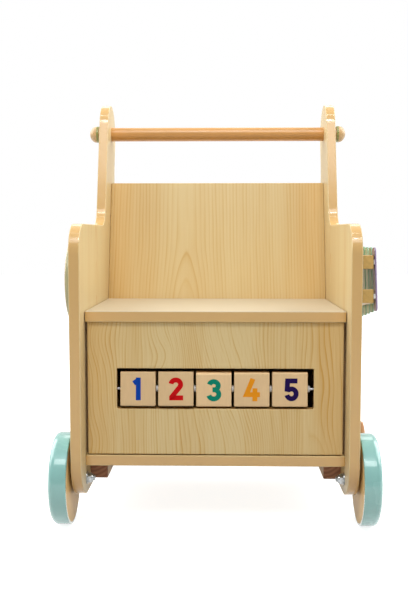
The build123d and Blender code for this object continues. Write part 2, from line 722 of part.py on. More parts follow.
# --- turning disc on the left panel's outer face -----------------------------------------------------------
disc_r = disc_diameter / 2
dish_r = disc_dish_diameter / 2
dish_x = disc_outer_x - disc_dish_depth
disc_bore_r = disc_pin_diameter / 2 + running_clearance
activity_disc = turned([
    (disc_inner_x, disc_bore_r), (disc_inner_x, disc_r), (disc_outer_x, disc_r),
    (disc_outer_x, dish_r), (dish_x, dish_r - disc_dish_depth), (dish_x, disc_bore_r),
], disc_inset, disc_height)
rims = activity_disc.edges().filter_by(GeomType.CIRCLE).group_by(SortBy.RADIUS)[-1]
activity_disc = fillet(rims, disc_rounding)
save("activity_disc", other_side(activity_disc))
cap_x = dish_x + end_play
cap_end_x = cap_x + disc_cap_height
cap_r = disc_cap_diameter / 2
disc_pin = turned([
    (outer_x - disc_pin_grip, 0), (outer_x - disc_pin_grip, disc_pin_diameter / 2),
    (outer_x, disc_pin_diameter / 2), (outer_x, cap_r), (disc_inner_x - end_play, cap_r),
    (disc_inner_x - end_play, disc_pin_diameter / 2),
    (cap_x + disc_cap_height / 2, disc_pin_diameter / 2), (cap_x + disc_cap_height / 2, 0),
], disc_inset, disc_height)
save("disc_pin", other_side(disc_pin))
cap_bore_r = disc_pin_diameter / 2 + fixed_clearance
cap_bore_x = cap_x + disc_cap_height / 2 + fixed_clearance
disc_cap = turned([
    (cap_end_x, 0), (cap_bore_x, 0), (cap_bore_x, cap_bore_r), (cap_x, cap_bore_r),
    (cap_x, cap_r), (cap_end_x, cap_r),
], disc_inset, disc_height)
disc_cap = fillet(disc_cap.edges().sort_by(Axis.X)[-1], disc_cap_rounding)
save("disc_cap", other_side(disc_cap))
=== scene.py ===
import math

import bpy
import numpy as np
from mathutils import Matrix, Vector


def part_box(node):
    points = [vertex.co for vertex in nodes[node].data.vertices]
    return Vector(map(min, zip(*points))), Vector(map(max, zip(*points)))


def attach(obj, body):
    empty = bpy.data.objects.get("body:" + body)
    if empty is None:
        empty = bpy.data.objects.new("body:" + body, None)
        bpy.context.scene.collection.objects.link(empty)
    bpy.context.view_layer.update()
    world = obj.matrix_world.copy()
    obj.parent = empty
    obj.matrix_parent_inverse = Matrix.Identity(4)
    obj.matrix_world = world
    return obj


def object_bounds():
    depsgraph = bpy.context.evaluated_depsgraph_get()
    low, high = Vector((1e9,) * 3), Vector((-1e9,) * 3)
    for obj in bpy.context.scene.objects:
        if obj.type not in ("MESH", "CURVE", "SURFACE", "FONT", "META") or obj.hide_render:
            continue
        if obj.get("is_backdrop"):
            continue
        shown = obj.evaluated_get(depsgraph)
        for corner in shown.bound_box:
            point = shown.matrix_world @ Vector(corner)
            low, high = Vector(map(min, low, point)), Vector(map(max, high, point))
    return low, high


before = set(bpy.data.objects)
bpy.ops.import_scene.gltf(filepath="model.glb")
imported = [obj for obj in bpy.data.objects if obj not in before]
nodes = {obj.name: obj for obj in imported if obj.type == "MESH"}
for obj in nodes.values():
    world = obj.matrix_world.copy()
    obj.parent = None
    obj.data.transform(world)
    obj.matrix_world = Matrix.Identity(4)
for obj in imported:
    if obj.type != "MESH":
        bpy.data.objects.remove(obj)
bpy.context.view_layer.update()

# --- Side panels ------------------------------------------------------------------------------
# Two 12 mm boards sawn to a low arm and a leaning handle post, faced with a pale maple-like
# wood layer whose grain runs upright, and closed all round by a smooth tan edge strip.


class Wire:
    """A socket of a material's nodes. Arithmetic on it adds Math nodes to the same tree."""

    def __init__(self, tree, socket):
        self.tree, self.socket = tree, socket

    def node(self, kind, settings=None, sockets=None, out=0):
        """Adds one node: first its settings, then the values or links of its sockets."""
        made = self.tree.nodes.new(kind)
        for key, value in (settings or {}).items():
            if key == "stops":
                ramp = made.color_ramp.elements
                while len(ramp) < len(value):
                    ramp.new(1.0)
                for stop, (place, colour) in zip(ramp, value):
                    stop.position, stop.color = place, (*colour, 1.0)
            else:
                setattr(made, key, value)
        for key, value in (sockets or {}).items():
            if isinstance(value, Wire):
                self.tree.links.new(value.socket, made.inputs[key])
            else:
                made.inputs[key].default_value = value
        return Wire(self.tree, made.outputs[out])

    def maths(self, operation, other=0.0, third=0.0):
        """One Math node that has this value first."""
        return self.node("ShaderNodeMath", {"operation": operation},
                         {0: self, 1: other, 2: third})

    def __add__(self, other):
        return self.maths("ADD", other)

    __radd__ = __add__

    def __mul__(self, other):
        return self.maths("MULTIPLY", other)

    __rmul__ = __mul__

    def __sub__(self, other):
        return self.maths("SUBTRACT", other)

    def __rsub__(self, other):
        return self.node("ShaderNodeMath", {"operation": "SUBTRACT"}, {0: other, 1: self})

    def __truediv__(self, other):
        return self.maths("DIVIDE", other)

    def __abs__(self):
        return self.maths("ABSOLUTE")

    def step(self, low, high):
        """0 below low, 1 above high, smooth between."""
        return self.node("ShaderNodeMapRange", {"interpolation_type": "SMOOTHSTEP"},
                         {"Value": self, "From Min": low, "From Max": high})

    def along(self, direction):
        """This place measured along a direction."""
        return self.node("ShaderNodeVectorMath", {"operation": "DOT_PRODUCT"},
                         {0: self, 1: direction}, out="Value")

    def scaled(self, factors):
        """This place times one factor for each axis."""
        return self.node("ShaderNodeVectorMath", {"operation": "MULTIPLY"},
                         {0: self, 1: factors}, out="Vector")

    def length(self):
        return self.node("ShaderNodeVectorMath", {"operation": "LENGTH"}, {0: self}, out="Value")

    def away_from(self, centre, axes):
        """Distance from a centre: the length of place * axes - centre."""
        return self.node("ShaderNodeVectorMath", {"operation": "MULTIPLY_ADD"},
                         {0: self, 1: axes, 2: tuple(-c for c in centre)}, out="Vector").length()

    def noise(self, scale, detail=2.0, roughness=0.5):
        """Soft noise between 0 and 1, with this many cells to a metre."""
        return self.node("ShaderNodeTexNoise", {"noise_dimensions": "3D"},
                         {"Vector": self, "Scale": scale, "Detail": detail,
                          "Roughness": roughness})

    def mix(self, low, high):
        """This value mixes two colours: 0 gives the first, 1 the second."""
        low, high = (c if isinstance(c, Wire) else (*c, 1.0) for c in (low, high))
        return self.node("ShaderNodeMix", {"data_type": "RGBA"}, {0: self, 6: low, 7: high},
                         out=2)

    def bump(self, height, strength=1.0):
        """Normal of a surface raised by this many metres times the height."""
        return self.node("ShaderNodeBump", None,
                         {"Height": self, "Distance": height, "Strength": strength})


def material(name, **plain):
    """A new material: its place, as a wire, and its one Principled shader."""
    made = bpy.data.materials.new(name)
    made.use_nodes = True
    tree = made.node_tree
    shader = tree.nodes["Principled BSDF"]
    for key, value in plain.items():
        shader.inputs[key.replace("_", " ")].default_value = value
    place = tree.nodes.new("ShaderNodeTexCoord").outputs["Object"]
    return made, Wire(tree, place), shader


def feed(shader, **wires):
    """Links wires to the shader's sockets."""
    for key, wire in wires.items():
        wire.tree.links.new(wire.socket, shader.inputs[key.replace("_", " ")])


def dress(made, *names):
    """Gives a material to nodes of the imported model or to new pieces."""
    for name in names:
        piece = nodes[name] if isinstance(name, str) else name
        piece.data.materials.clear()
        piece.data.materials.append(made)


def shade(colour, share):
    """A colour made lighter or darker."""
    return tuple(min(1.0, c * share) for c in colour)


VENEER = (0.665, 0.512, 0.252)        # pale wood face, linear colour
GRAIN = (0.560, 0.312, 0.076)         # its orange-brown growth lines
EDGE_STRIP = (0.620, 0.380, 0.133)    # smooth strip glued round the boards' edges
PANEL_FACE = (0.690, 0.562, 0.315)    # the side panels' paler veneer
BOARD = 0.012                         # thickness of every board
EASING = 0.001                        # rounding of its edges


# A ring's darkness by its share of the ring: pale early wood, then a sharp dark end.
RING_PROFILE = [(share, (dark,) * 3) for share, dark in (
    (0.0, 0.30), (0.08, 0.0), (0.55, 0.08), (0.84, 0.45), (0.94, 1.0), (1.0, 0.45))]
SIDE_SHADE_START, SIDE_SHADE_END = 0.070, 0.150   # where the painted shade towards a face's two sides begins and is full


def veneer_grain(place, across, along, hearts, spacing=0.0042, wander=0.006, phase=0.0,
                 contrast=1.0, even=0.35, warm_sides=0.0, curls=()):
    """Darkness of a flat-sawn face, where growth rings meet the board's plane, and its fibre.

    Each heart (u, v, tilt, top, start) is where the tree's pith comes nearest to the face. A
    ring's radius about it is start + sqrt(u^2 + (tilt * v)^2), with v kept between 0 and top,
    so the rings meet the face as nested pointed arches over the heart and as upright lines
    beside and above them. The smallest radius of all hearts counts. A curl (u, v, size, a, b)
    lifts the radius by size * exp(-(du / a)^2 - (dv / b)^2).

    Rings are spacing apart, and noise bends them by about the length wander. Each darkens
    slowly and ends sharply; its strength goes from the share even to 1 by a noise of its own.
    Contrast multiplies the whole figure, warm_sides darkens the face towards its two sides as
    painted shade from the side panels beside it, and phase picks another figure of the same
    kind.
    """
    across_place, along_place = place.along(across), place.along(along)

    def stretched(across_scale, along_scale, offset=0.0):
        """The place in the face, scaled across and along the grain."""
        return place.node("ShaderNodeCombineXYZ", None, {
            0: across_place * across_scale, 1: along_place * along_scale, 2: phase + offset})

    bend = stretched(16.0, 4.0).noise(1.0, detail=2.0) - 0.5
    small_bend = stretched(70.0, 16.0).noise(1.0, detail=1.0) - 0.5
    radius = None
    for u_heart, v_heart, tilt, top, start in hearts:
        u = across_place - u_heart
        v = (along_place - v_heart).maths("SMOOTH_MAX", 0.0, 0.02)
        depth = v.maths("SMOOTH_MIN", top, 0.03) * tilt
        one = (u * u + depth * depth).maths("SQRT") + start
        radius = one if radius is None else radius.maths("SMOOTH_MIN", one, 0.02)
    for u_curl, v_curl, size, a, b in curls:
        u, v = (across_place - u_curl) * (1 / a), (along_place - v_curl) * (1 / b)
        radius = radius + (0.0 - (u * u + v * v)).maths("EXPONENT") * size
    count = (radius + bend * wander + small_bend * (wander * 0.12)) / spacing + phase
    part, number = count.maths("FRACT"), count.maths("FLOOR")
    line = part.node("ShaderNodeValToRGB", {"stops": RING_PROFILE}, {0: part})
    own = place.node("ShaderNodeCombineXYZ", None, {
        0: number * 3.7, 1: along_place * 9.0, 2: phase})
    strength = own.noise(1.0, detail=0.0).step(0.32, 0.72) * (1.0 - even) + even
    fibre = stretched(850.0, 13.0).noise(1.0, detail=3.0, roughness=0.6)
    band = stretched(34.0, 1.2, offset=5.0).noise(1.0, detail=2.0)
    dark = (line * strength * 0.80 + (fibre - 0.5) * 0.50 + (band - 0.5) * 0.75) * contrast
    # Painted shade: the face darkens towards its two sides, where the side panels beside it
    # shade it.
    if warm_sides:
        dark = dark + abs(across_place).step(SIDE_SHADE_START, SIDE_SHADE_END) * warm_sides
    return (dark + 0.08).maths("MINIMUM", 1.0).maths("MAXIMUM", 0.0), fibre


def board_finish(name, middle, across, along, through, hearts, face_colour=VENEER, under=None,
                 **grain):
    """Veneered faces, and the edge strip wherever the place is between a board's two faces.

    The lower half of a level board may have a face colour of its own, called under.
    """
    made, place, shader = material(name, **{"Specular IOR Level": 0.25, "Coat IOR": 1.50,
                                            "Coat Roughness": 0.13})
    dark, fibre = veneer_grain(place, across, along, hearts, **grain)
    face = dark.mix(face_colour, GRAIN)
    # Painted sheen: on the seat the top half takes a greyer face colour for the light washing
    # over it, while the underside keeps the plain veneer.
    if under:
        face = place.along(Z).step(middle.z - 0.001, middle.z + 0.001).mix(under, face)
    depth = abs(place.along(through) - float(np.dot(middle, through)))
    strip = 1.0 - depth.step(BOARD / 2 - EASING, BOARD / 2 - EASING * 0.55)
    cloud = place.noise(40.0, detail=3.0)
    plain = cloud.mix(shade(EDGE_STRIP, 0.97), shade(EDGE_STRIP, 1.03))
    feed(shader, Base_Color=strip.mix(face, plain), Roughness=0.38 - strip * 0.12,
         Coat_Weight=strip * 0.6, Normal=(fibre * (1.0 - strip)).bump(0.00010, 0.5))
    return made


X, Y, Z = (1.0, 0.0, 0.0), (0.0, 1.0, 0.0), (0.0, 0.0, 1.0)
for side, name in ((1, "right_side_panel"), (-1, "left_side_panel")):
    low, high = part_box(name)
    dress(board_finish(f"panel_wood_{name.split('_')[0]}", (low + high) / 2, Y, Z, X,
                       [(0.03 * side, 0.05, 0.10, 0.30, 0.0), (-0.10, -0.10, 0.12, 0.25, 0.0)],
                       phase=0.4 + 0.3 * side, contrast=0.65, face_colour=PANEL_FACE), name)

# --- Box: floor, front, rear, seat lid and backrest -------------------------------------------
# Boards of the same stock between the panels. The seat is the lid; the backrest leans back.
# The backrest's veneer shows two nested arches, the front's is livelier and the seat's plain.
SEAT_TOP_PAINTED_SHEEN = (0.530, 0.468, 0.345)     # the seat top's veneer, painted greyer and washed out as painted sheen of light
BACKREST_LEAN = math.radians(15.5)
for name, along, across, through, hearts, contrast, face in (
    ("floor_board", X, Y, Z, [(0.0, -0.2, 0.12, 0.3, 0.0)], 0.8, VENEER),
    ("rear_panel", Z, X, Y, [(0.03, 0.02, 0.14, 0.2, 0.0)], 1.0, VENEER),
    ("seat_lid", X, Y, Z, [(0.10, -0.30, 0.05, 0.4, 0.0)], 0.30, SEAT_TOP_PAINTED_SHEEN),
):
    low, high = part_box(name)
    dress(board_finish(name + "_wood", (low + high) / 2, across, along, through, hearts,
                       phase=0.2, contrast=contrast, face_colour=face,
                       under=VENEER if name == "seat_lid" else None), name)

up_slope = (0.0, math.sin(BACKREST_LEAN), math.cos(BACKREST_LEAN))
out_of_back = (0.0, math.cos(BACKREST_LEAN), -math.sin(BACKREST_LEAN))
low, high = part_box("backrest")
# Painted light: the backrest's face is the veneer made 4 percent lighter, for the stronger light
# on its up-tilted face.
dress(board_finish("backrest_wood", (low + high) / 2, X, up_slope, out_of_back,
                   [(-0.0417, 0.1422, 0.133, 0.180, 0.0)], phase=-0.33, wander=0.007,
                   warm_sides=0.30, contrast=0.85, face_colour=shade(VENEER, 1.04)),
      "backrest")
FRONT_CURLS = [                       # swirls in the front panel's figure
    (-0.055, 0.192, -0.0125, 0.017, 0.022), (0.000, 0.235, 0.020, 0.040, 0.055),
    (0.020, 0.085, -0.016, 0.050, 0.050), (-0.135, 0.210, 0.010, 0.025, 0.030),
    (-0.130, 0.095, -0.008, 0.020, 0.030),
]
low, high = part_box("front_panel")
# Painted light: the front panel's face is the veneer made 5 percent lighter, as light on this
# front-facing board.
dress(board_finish("front_panel_wood", (low + high) / 2, X, Z, Y,
                   [(-0.300, -0.200, 0.050, 0.300, 0.0), (0.112, 0.020, 0.220, 0.100, 0.385)],
                   phase=0.15, wander=0.022, contrast=1.35, even=0.16, warm_sides=0.30,
                   spacing=0.0033, face_colour=shade(VENEER, 1.05), curls=FRONT_CURLS),
      "front_panel")

# --- Cleats -----------------------------------------------------------------------------------
# Sawn strips of raw wood in the corners under the boards, with darker end grain. The front
# ends of the two under the floor are seen beside the feet.
RAW_WOOD = (0.520, 0.345, 0.180)
END_GRAIN = (0.240, 0.105, 0.055)
CUT_START, CUT_END = 0.0011, 0.0008   # where the end grain begins and is full, from the end


def sawn_finish(name, along, colour, ends, end_colour, ring_centre):
    """Streaks along the grain, and growth rings on the two sawn ends.

    The ends are where the place along the grain comes to its limits. A ring goes up and down
    with the distance from the tree's heart, bent by noise.
    """
    made, place, shader = material(name, Roughness=0.55, **{"Specular IOR Level": 0.35})
    streak = place.scaled(tuple(8.0 if a else 380.0 for a in along)).noise(
        1.0, detail=4.0, roughness=0.6)
    body = streak.mix(shade(colour, 0.80), shade(colour, 1.15))
    reach = place.away_from(ring_centre, tuple(1.0 - a for a in along))
    ring = (reach * 420.0 + place.noise(90.0) * 1.2).maths("PINGPONG", 1.0)
    end = ring.mix(end_colour, shade(end_colour, 1.75))
    depth = abs(place.along(along) - (ends[0] + ends[1]) / 2)
    half = (ends[1] - ends[0]) / 2
    cut = depth.step(half - CUT_START, half - CUT_END)
    feed(shader, Base_Color=cut.mix(body, end), Roughness=0.50 + streak * 0.15,
         Normal=streak.bump(0.0002, 0.6))
    return made


for side in ("left", "right"):
    low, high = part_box(f"{side}_floor_cleat")
    dress(sawn_finish(f"{side}_cleat_wood", Y, RAW_WOOD, (low.y, high.y), END_GRAIN,
                      (low.x, 0.0, low.z + 0.03)), f"{side}_floor_cleat")
    low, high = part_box(f"{side}_front_cleat")
    dress(sawn_finish(f"{side}_front_strip_wood", Z, RAW_WOOD, (low.z, high.z), END_GRAIN,
                      (low.x, low.y + 0.02, 0.0)), f"{side}_front_cleat")
    low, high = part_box(f"{side}_seat_cleat")
    dress(sawn_finish(f"{side}_seat_strip_wood", Y, RAW_WOOD, (low.y, high.y), END_GRAIN,
                      (low.x, 0.0, low.z - 0.01)), f"{side}_seat_cleat")

# --- Handle rod and its knobs -----------------------------------------------------------------
# A warm brown dowel between the posts, under clear lacquer. Each of its ends carries a turned
# knob with a narrow neck, and a dark olive ring of painted shade where the round head begins.
DOWEL = (0.590, 0.290, 0.075)
KNOB = (0.560, 0.360, 0.160)
# Painted shade: the dark olive ring at the base of each knob's round head.
KNOB_SHADE_RING = (0.230, 0.240, 0.060)
NECK_LENGTH, SHADE_RING_WIDTH = 0.0055, 0.0028
SHADE_RING_BLUR = 0.0002


def dowel_finish(name, along, colour, ring=None):
    """Turned wood: long streaks along the axis; between two distances, a dark ring of painted
    shade.
    """
    made, place, shader = material(name, **{"Roughness": 0.38, "Specular IOR Level": 0.45,
                                            "Coat Weight": 0.15, "Coat Roughness": 0.2})
    streak = place.scaled(tuple(9.0 if a else 300.0 for a in along)).noise(
        1.0, detail=4.0, roughness=0.65)
    body = streak.mix(shade(colour, 0.72), shade(colour, 1.22))
    # Painted shade: the ring darkens the knob where its round head begins.
    if ring:
        start, end = ring
        half = (end - start) / 2
        depth = abs(abs(place.along(along)) - (start + end) / 2)
        body = (1.0 - depth.step(half - SHADE_RING_BLUR, half + SHADE_RING_BLUR)).mix(body, KNOB_SHADE_RING)
    feed(shader, Base_Color=body, Roughness=0.32 + streak * 0.14,
         Normal=streak.bump(0.00015, 0.5))
    return made


dress(dowel_finish("handle_wood", X, DOWEL), "handle_rod")
neck_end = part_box("right_side_panel")[1].x + NECK_LENGTH
dress(dowel_finish("knob_wood", X, KNOB, ring=(neck_end, neck_end + SHADE_RING_WIDTH)),
      "right_handle_knob", "left_handle_knob")

# --- Wheels -----------------------------------------------------------------------------------
# Turned wooden discs with a smooth mint rubber tyre stretched over the rim and a domed cap of
# the same colour over the bolt's head.
MINT = (0.205, 0.445, 0.410)
WHEEL_WOOD = (0.820, 0.550, 0.225)


def tyre_finish(name, colour, roughness=0.26):
    """Smooth glossy rubber with faint clouding and fine dimples."""
    made, place, shader = material(name, **{"Specular IOR Level": 0.4, "Coat Weight": 1.0,
                                            "Coat Roughness": 0.03})
    cloud = place.noise(28.0, detail=3.0)
    fine = place.noise(900.0, detail=2.0)
    feed(shader, Base_Color=cloud.mix(shade(colour, 0.93), shade(colour, 1.06)),
         Roughness=cloud * 0.10 + (roughness - 0.05), Normal=fine.bump(0.00003, 0.35))
    return made


def wheel_finish(name, axle):
    """Flat-sawn wooden disc: upright grain and fine lathe rings round the axle."""
    made, place, shader = material(name, **{"Specular IOR Level": 0.2})
    dark, streak = veneer_grain(place, Y, Z, [(axle.y, axle.z - 0.2, 0.12, 0.3, 0.0)],
                                contrast=0.6)
    lathe = (place.away_from((0.0, axle.y, axle.z), (0.0, 1.0, 1.0)) * 2600.0).maths("SINE")
    feed(shader, Base_Color=dark.mix(WHEEL_WOOD, shade(WHEEL_WOOD, 0.72)),
         Roughness=0.38 + streak * 0.10, Normal=(lathe * 0.3 + streak).bump(0.00008, 0.5))
    return made


mint_tyre = tyre_finish("mint_tyre", MINT)
mint_cap = tyre_finish("mint_cap", MINT, roughness=0.20)
for end in ("front", "rear"):
    for side in ("left", "right"):
        wheel = f"{end}_{side}_wheel"
        low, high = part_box(wheel)
        dress(wheel_finish(wheel + "_wood", (low + high) / 2), wheel)
        dress(mint_tyre, f"{end}_{side}_tyre")
        dress(mint_cap, f"{end}_{side}_hub_cap")

# --- Bolts, sleeves, washers, nuts, pins and screws -------------------------------------------
# Zinc-plated steel. The bolts' free ends carry a fine thread; the plating is slightly cloudy.
ZINC = (0.380, 0.400, 0.410)
DULL_STEEL = (0.300, 0.300, 0.300)
THREADS_PER_METRE = 1000.0
THREAD_START, THREAD_END = 0.1445, 0.1450   # threads fade out between these, from the middle


def steel_finish(name, colour=ZINC, threads=False, roughness=0.28):
    """Plated steel: cloudy brightness, and thread grooves as ridges along X."""
    made, place, shader = material(name, Metallic=1.0)
    cloud = place.noise(220.0, detail=3.0)
    fine = place.noise(1800.0, detail=2.0)
    height = fine * 0.15
    if threads:
        ridge = (place.along(X) * THREADS_PER_METRE).maths("PINGPONG", 0.5)
        inner = 1.0 - abs(place.along(X)).step(THREAD_START, THREAD_END)
        height = height + ridge * inner * 4.0
    feed(shader, Base_Color=cloud.mix(shade(colour, 0.75), shade(colour, 1.20)),
         Roughness=cloud * 0.18 + (roughness - 0.08), Normal=height.bump(0.00015, 0.7))
    return made


zinc = steel_finish("zinc_steel")
dress(steel_finish("threaded_zinc_steel", threads=True), "wheel_bolts")
dress(zinc, "axle_sleeves", "wheel_washers", "wheel_nuts", "seat_lid_pins")
dress(steel_finish("rod_steel", DULL_STEEL, roughness=0.4), "block_rod")
dress(steel_finish("screw_steel", roughness=0.34), "board_screws")
dress(steel_finish("pin_steel", roughness=0.22), "xylophone_pins")

# --- Number blocks on their rod ---------------------------------------------------------------
# Five flat blocks of fine-grained wood that flip over on a steel rod, kept apart by white
# plastic rings. Each wears its numeral in coloured ink on the front face.
BLOCK_WOOD = (0.680, 0.475, 0.255)
SPACER = (0.50, 0.50, 0.48)
INKS = {1: (0.001, 0.048, 0.340), 2: (0.550, 0.003, 0.005), 3: (0.001, 0.230, 0.145),
        4: (0.800, 0.290, 0.010), 5: (0.010, 0.001, 0.055)}


def block_finish(name, heart, tone):
    """Fine beech: short dark flecks over a pinkish-tan ground."""
    made, place, shader = material(name, Roughness=0.45, **{"Specular IOR Level": 0.30})
    fleck = place.scaled((700.0, 700.0, 60.0)).noise(1.0, detail=3.0, roughness=0.6)
    cloud = place.node("ShaderNodeVectorMath", {"operation": "ADD"}, {0: place, 1: heart},
                       out="Vector").noise(30.0, detail=2.0)
    figure = fleck * 0.5 + cloud * 0.5
    ground = figure.mix(shade(BLOCK_WOOD, 0.84 * tone), shade(BLOCK_WOOD, 1.14 * tone))
    feed(shader, Base_Color=ground, Roughness=0.40 + fleck * 0.12,
         Normal=fleck.bump(0.00008, 0.5))
    return made


def plastic_finish(name, colour, roughness=0.4, gloss=0.5):
    """Moulded plastic: an even colour with faint clouding and a fine orange-peel skin."""
    made, place, shader = material(name, **{"Specular IOR Level": gloss})
    cloud = place.noise(60.0, detail=2.0)
    skin = place.noise(1500.0, detail=2.0)
    feed(shader, Base_Color=cloud.mix(shade(colour, 0.95), shade(colour, 1.04)),
         Roughness=cloud * 0.08 + (roughness - 0.04), Normal=skin.bump(0.00003, 0.4))
    return made


dress(plastic_finish("white_spacer", SPACER), "block_spacers")


def arc(centre, radii, start, end, count):
    """Points round an ellipse: centre + (a cos t, b sin t), t from start to end in degrees."""
    t = np.radians(np.linspace(start, end, count))
    return np.stack([centre[0] + radii[0] * np.cos(t), centre[1] + radii[1] * np.sin(t)], 1)


def stroke(path, width, thickness):
    """A flat printed stroke: the path offset by half the width to both sides, with a thickness.

    At each point the offset follows the normal of the mean direction of its two runs, made
    longer by 1 / cos(half the turn) so that corners stay as wide as the straight runs.
    """
    path = np.asarray(path, float)
    runs = np.diff(path, axis=0)
    runs /= np.linalg.norm(runs, axis=1)[:, None]
    before = np.vstack([runs[:1], runs])
    after = np.vstack([runs, runs[-1:]])
    mean = before + after
    mean /= np.linalg.norm(mean, axis=1)[:, None]
    across = np.stack([-mean[:, 1], mean[:, 0]], 1)
    stretch = 1.0 / np.maximum(np.sum(mean * after, axis=1), 0.5)
    half = across * (stretch * width / 2)[:, None]
    ring = np.stack([path + half, path - half], 1)
    count = len(path)
    flat = np.concatenate([ring.reshape(-1, 2), ring.reshape(-1, 2)])
    depth = np.repeat([0.0, -thickness], 2 * count)
    points = np.stack([flat[:, 0], depth, flat[:, 1]], 1)
    i = np.arange(count - 1) * 2
    back = 2 * count
    faces = np.concatenate([
        np.stack([i, i + 1, i + 3, i + 2], 1)[:, ::-1] + back,
        np.stack([i, i + 1, i + 3, i + 2], 1),
        np.stack([i, i + 2, i + 2 + back, i + back], 1),
        np.stack([i + 1, i + 1 + back, i + 3 + back, i + 3], 1),
        np.array([[0, back, back + 1, 1]]),
        np.array([[2 * count - 2, 2 * count - 1, 4 * count - 1, 4 * count - 2]]),
    ])
    return points, faces


def mesh_piece(name, points, faces):
    """A new object at the origin, with its place in its mesh."""
    mesh = bpy.data.meshes.new(name)
    mesh.from_pydata(np.asarray(points).tolist(), [], np.asarray(faces).tolist())
    mesh.validate()
    mesh.update()
    made = bpy.data.objects.new(name, mesh)
    bpy.context.scene.collection.objects.link(made)
    return made


# The numerals' centre lines, in shares of a numeral's height, about its middle.
NUMERAL_HEIGHT = 0.0254
NUMERAL_WIDTH = 0.0055
INK_THICKNESS = 0.00010
INK_LAYER = 0.4                       # share by which a second stroke lies higher
HALF = NUMERAL_WIDTH / NUMERAL_HEIGHT / 2
TOP = 0.5 - HALF
NUMERALS = {
    1: [[(0.020, 0.5), (0.020, -0.5)], [(0.040, 0.395), (-0.185, 0.245)]],
    2: [np.vstack([arc((0.0, TOP - 0.195), (0.212, 0.195), 172, -36, 22),
                   [(-0.180, -TOP + 0.035), (-0.180, -TOP), (0.325, -TOP)]])],
    3: [np.vstack([arc((0.0, TOP - 0.185), (0.198, 0.185), 165, -90, 22),
                   [(-0.055, TOP - 0.37)]]),
        np.vstack([[(-0.055, -TOP + 0.416)],
                   arc((0.0, -TOP + 0.208), (0.222, 0.208), 90, -165, 24)])],
    4: [[(0.045, 0.5), (-0.235, -0.205), (0.355, -0.205)], [(0.135, 0.075), (0.135, -0.5)]],
    5: [np.vstack([[(0.255, TOP), (-0.175, TOP), (-0.195, 0.02)],
                   arc((-0.005, -TOP + 0.215), (0.205, 0.215), 122, -165, 26)])],
}
NUMERAL_SHIFT = {5: 0.0018}           # the 5 is printed a little to the right
BLOCK_DEPTH = 0.014
BLOCK_TONES = {1: 1.0, 2: 1.0, 3: 1.20, 4: 1.10, 5: 1.08}
BLOCK_LEANS = {1: 5.0, 2: 6.0, 3: -5.0, 4: -1.0, 5: 2.0}
rod_low, rod_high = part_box("block_rod")
rod_middle = (rod_low + rod_high) / 2
for number, strokes in NUMERALS.items():
    block = f"number_block_{number}"
    low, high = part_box(block)
    dress(block_finish(f"block_{number}_wood", (0.31 * number, 0.17 * number, 0.05),
                       BLOCK_TONES[number]), block)
    ink = plastic_finish(f"ink_{number}", INKS[number], roughness=0.55, gloss=0.1)
    points, faces, count = [], [], 0
    for layer, path in enumerate(strokes):
        p, f = stroke(np.asarray(path) * NUMERAL_HEIGHT, NUMERAL_WIDTH,
                      INK_THICKNESS * (1.0 + INK_LAYER * layer))
        points.append(p)
        faces.append(f + count)
        count += len(p)
    # The block has swung on its rod: x stays, and (y, z) turns by the lean about the rod.
    flat = np.vstack(points) + (NUMERAL_SHIFT.get(number, 0.0), -BLOCK_DEPTH / 2, 0.0)
    swing = math.radians(BLOCK_LEANS[number])
    turned = np.stack([
        flat[:, 0] + (low.x + high.x) / 2,
        rod_middle.y + flat[:, 1] * math.cos(swing) + flat[:, 2] * math.sin(swing),
        rod_middle.z - flat[:, 1] * math.sin(swing) + flat[:, 2] * math.cos(swing)], 1)
    numeral = mesh_piece(f"numeral_{number}", turned, np.vstack(faces))
    dress(ink, numeral)
    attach(numeral, f"block_{number}")

# --- Xylophone --------------------------------------------------------------------------------
# Two mustard-stained rails on the right panel carry white felt strips and six painted steel
# keys, each held loosely by two nails so that it can ring.
RAIL = (0.520, 0.330, 0.095)
KEY_PAINTS = (
    (0.290, 0.215, 0.360), (0.230, 0.430, 0.290), (0.330, 0.580, 0.440),
    (0.150, 0.360, 0.210), (0.360, 0.600, 0.480), (0.130, 0.320, 0.220),
)
FELT_DARK, FELT_PALE = (0.62, 0.62, 0.60), (0.86, 0.86, 0.84)


def paint_finish(name, colour):
    """Sprayed enamel with faint clouding and a fine orange-peel skin."""
    made, place, shader = material(name, **{"Specular IOR Level": 0.2, "Coat Weight": 0.5,
                                            "Coat Roughness": 0.15})
    cloud = place.noise(45.0, detail=2.0)
    skin = place.noise(700.0, detail=2.0)
    feed(shader, Base_Color=cloud.mix(shade(colour, 0.92), shade(colour, 1.06)),
         Roughness=cloud * 0.08 + 0.30, Normal=skin.bump(0.00005, 0.4))
    return made


for number, colour in enumerate(KEY_PAINTS, start=1):
    dress(paint_finish(f"key_{number}_paint", colour), f"xylophone_key_{number}")
dress(dowel_finish("rail_wood", Y, RAIL), "xylophone_upper_rail", "xylophone_lower_rail")
felt, place, shader = material("white_felt", Roughness=0.95, **{"Sheen Weight": 0.4})
fibre = place.noise(1400.0, detail=4.0, roughness=0.7)
feed(shader, Base_Color=fibre.mix(FELT_DARK, FELT_PALE), Normal=fibre.bump(0.0004, 0.8))
dress(felt, "xylophone_felts")

# --- Mallet -----------------------------------------------------------------------------------
# A barrel-shaped head of warm brown wood on a pale stick, lying in two open wooden rests.
MALLET_HEAD = (0.520, 0.235, 0.075)
PALE_DOWEL = (0.640, 0.450, 0.240)
dress(dowel_finish("mallet_head_wood", Z, MALLET_HEAD), "mallet_head")
dress(dowel_finish("mallet_stick_wood", Y, PALE_DOWEL), "mallet_stick")
NO_ENDS = (-1.0, 1.0)                 # limits that no end of a piece comes to
dress(sawn_finish("rest_wood", X, PALE_DOWEL, NO_ENDS, PALE_DOWEL, (0.0, 0.0, 0.0)),
      "mallet_rests")
